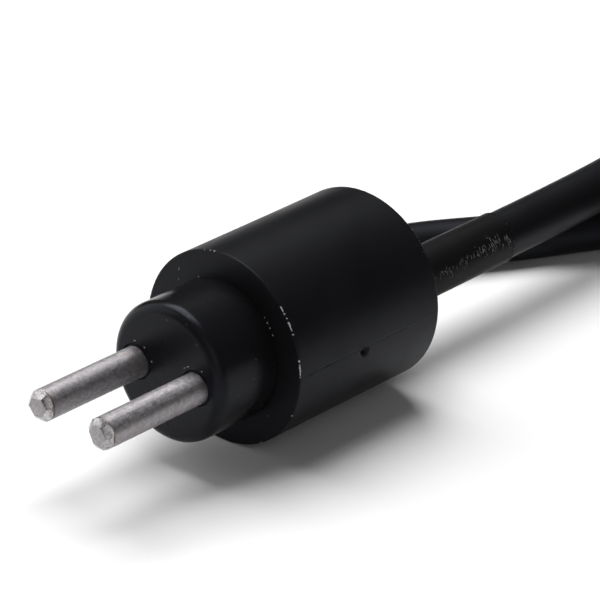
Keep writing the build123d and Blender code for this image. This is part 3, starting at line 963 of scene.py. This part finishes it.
def makePinFlash():
    places = []
    for sign, spots in pinFlash.items():
        x = sign * pinSpacing / 2
        for angle, length in spots:
            outward, sideways = roundDirections(angle)
            point = Vector((x, noseY - 0.02 * mm, axisZ)) + outward * 2.2 * mm
            places.append((point, towardsPins, sideways, length * mm, 0.12 * mm, 0.07 * mm))
    piece = scatterFlakes("pinRootFlash", places, 47)
    finishPiece(piece, tornPlastic)


makeRimFlash()
makeReliefFlash()
makePinFlash()
print("the torn flash is set")


# The nylon tie round the coil: a band with round corners, its locking head and the cut tail.
tie = {
    "width": 3.6 * mm, "thickness": 1.0 * mm, "halfWide": 5.25 * mm, "halfHigh": 10.45 * mm, "corner": 2.5 * mm,
    "middleRadius": 25.0 * mm, "middleHeight": 11.5 * mm, "headLong": 6.0 * mm, "headWide": 5.4 * mm,
    "headHigh": 4.2 * mm, "headRound": 0.8 * mm, "mouthWall": 0.8 * mm, "mouthDeep": 1.4 * mm, "topRound": 0.5 * mm,
    "edgeRound": 0.25 * mm, "stub": 3.0 * mm, "stubSunk": 0.6 * mm, "stubHigh": 1.9 * mm, "stubRound": 0.12 * mm,
    "steps": 7, "stepLong": 0.02 * mm, "creaseAngle": 35,
}


def startBlock(name, place, size):
    clearSelection()
    bpy.ops.mesh.primitive_cube_add(size=1.0, location=place)
    piece = bpy.context.object
    piece.name = name
    piece.scale = size
    applyPlace()
    editMesh(piece)
    return piece


def makeTie():
    turn = math.radians(leadWay["tieAngle"])
    outward = Vector((math.cos(turn), math.sin(turn), 0))
    middle = Vector((leadWay["coilMiddle"][0], leadWay["coilMiddle"][1], 0)) + outward * tie["middleRadius"]
    clearSelection()
    bpy.ops.mesh.primitive_plane_add(size=1.0, location=(0, 0, 0), rotation=upright)
    band = bpy.context.object
    band.name = "coilTie.band"
    band.scale = (2 * tie["halfWide"], 2 * tie["halfHigh"], 1)
    applyPlace()
    editWhole(band)
    bpy.ops.mesh.bevel(offset=tie["corner"], segments=7, affect="VERTICES")
    bpy.ops.mesh.select_all(action="SELECT")
    bpy.ops.mesh.extrude_region_move(TRANSFORM_OT_translate={"value": (0, tie["width"], 0)})
    pickWhere(band, "faces", lambda face: abs(face.normal.y) > 0.9)
    bpy.ops.mesh.delete(type="FACE")
    closeMesh()
    wall = band.modifiers.new("wall", "SOLIDIFY")
    wall.thickness = tie["thickness"]
    wall.offset = 1.0
    edges = band.modifiers.new("edges", "BEVEL")
    edges.width = tie["edgeRound"]
    edges.segments = 2
    edges.limit_method = "ANGLE"
    edges.angle_limit = math.radians(50)
    selectOnly(band)
    for modifier in (wall, edges):
        bpy.ops.object.modifier_apply(modifier=modifier.name)

    topZ, middleY = tie["halfHigh"], tie["width"] / 2
    head = startBlock(
        "coilTie.head", (0, middleY, topZ + tie["headHigh"] / 2), (tie["headLong"], tie["headWide"], tie["headHigh"]))
    pickWhere(head, "edges", lambda edge: abs((edge.verts[0].co - edge.verts[1].co).normalized().z) > 0.9)
    bpy.ops.mesh.bevel(offset=tie["headRound"], segments=4, affect="EDGES")
    pickWhere(head, "faces", lambda face: face.normal.x > 0.95)
    bpy.ops.mesh.inset(thickness=tie["mouthWall"])
    bpy.ops.mesh.extrude_region_move(TRANSFORM_OT_translate={"value": (-tie["mouthDeep"], 0, 0)})
    pickWhere(head, "edges", lambda edge: all(v.co.z > topZ + tie["headHigh"] - 0.01 * mm for v in edge.verts))
    bpy.ops.mesh.bevel(offset=tie["topRound"], segments=3, affect="EDGES")
    closeMesh()

    stubX = tie["headLong"] / 2 + tie["stub"] / 2 - tie["stubSunk"]
    tail = startBlock(
        "coilTie.tail", (stubX, middleY, topZ + tie["stubHigh"]),
        (tie["stub"] + 2 * tie["stubSunk"], tie["width"], tie["thickness"]))
    pickWhere(tail, "faces", lambda face: face.normal.x > 0.95)
    for step in range(tie["steps"]):  # fine steps at the strap's cut end
        bpy.ops.mesh.extrude_region_move(TRANSFORM_OT_translate={"value": (tie["stepLong"], 0, 0)})
    bpy.ops.mesh.select_all(action="SELECT")
    bpy.ops.mesh.bevel(offset=tie["stubRound"], segments=2, affect="EDGES", clamp_overlap=True)
    closeMesh()

    whole = joinPieces((band, head, tail), "coilTie")
    # laid across the bundle, which runs round the coil at this place
    tangent = Vector((-outward.y, outward.x, 0))
    for vertex in whole.data.vertices:
        place = vertex.co.copy()
        lifted = Vector((0, 0, tie["middleHeight"] + place.z))
        vertex.co = middle + outward * place.x + tangent * (place.y - middleY) + lifted
    whole.data.update()
    editMesh(whole)
    closeMesh()
    smoothPiece(whole, tie["creaseAngle"])
    finishPiece(whole, nylonPlastic, ("coil_tie",))
    return whole


coilTie = makeTie()
print("the tie is on the coil")


# CAD nodes that stay as they are get their finish here, the sealed inner ones included.
nodeFinishes = {
    "anchor_ring": tinPlate, "crimp_barrel_left": tinPlate, "crimp_barrel_right": tinPlate,
    "conductor_left": bareCopper, "conductor_right": bareCopper, "core_left": jacketPlastic, "core_right": redPlastic,
    "shrink_sleeve_left": sealPlastic, "shrink_sleeve_right": sealPlastic, "end_sleeve": sealPlastic,
    "ferrule_collar_left": palePlastic, "ferrule_collar_right": palePlastic, "ferrule_left": tinPlate,
    "ferrule_right": tinPlate, "tail_strands_left": bareCopper, "tail_strands_right": bareCopper,
}
for node, material in nodeFinishes.items():
    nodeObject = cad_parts[node]
    nodeObject.data.materials.clear()
    nodeObject.data.materials.append(material)
print("the CAD nodes that stay have their finishes")
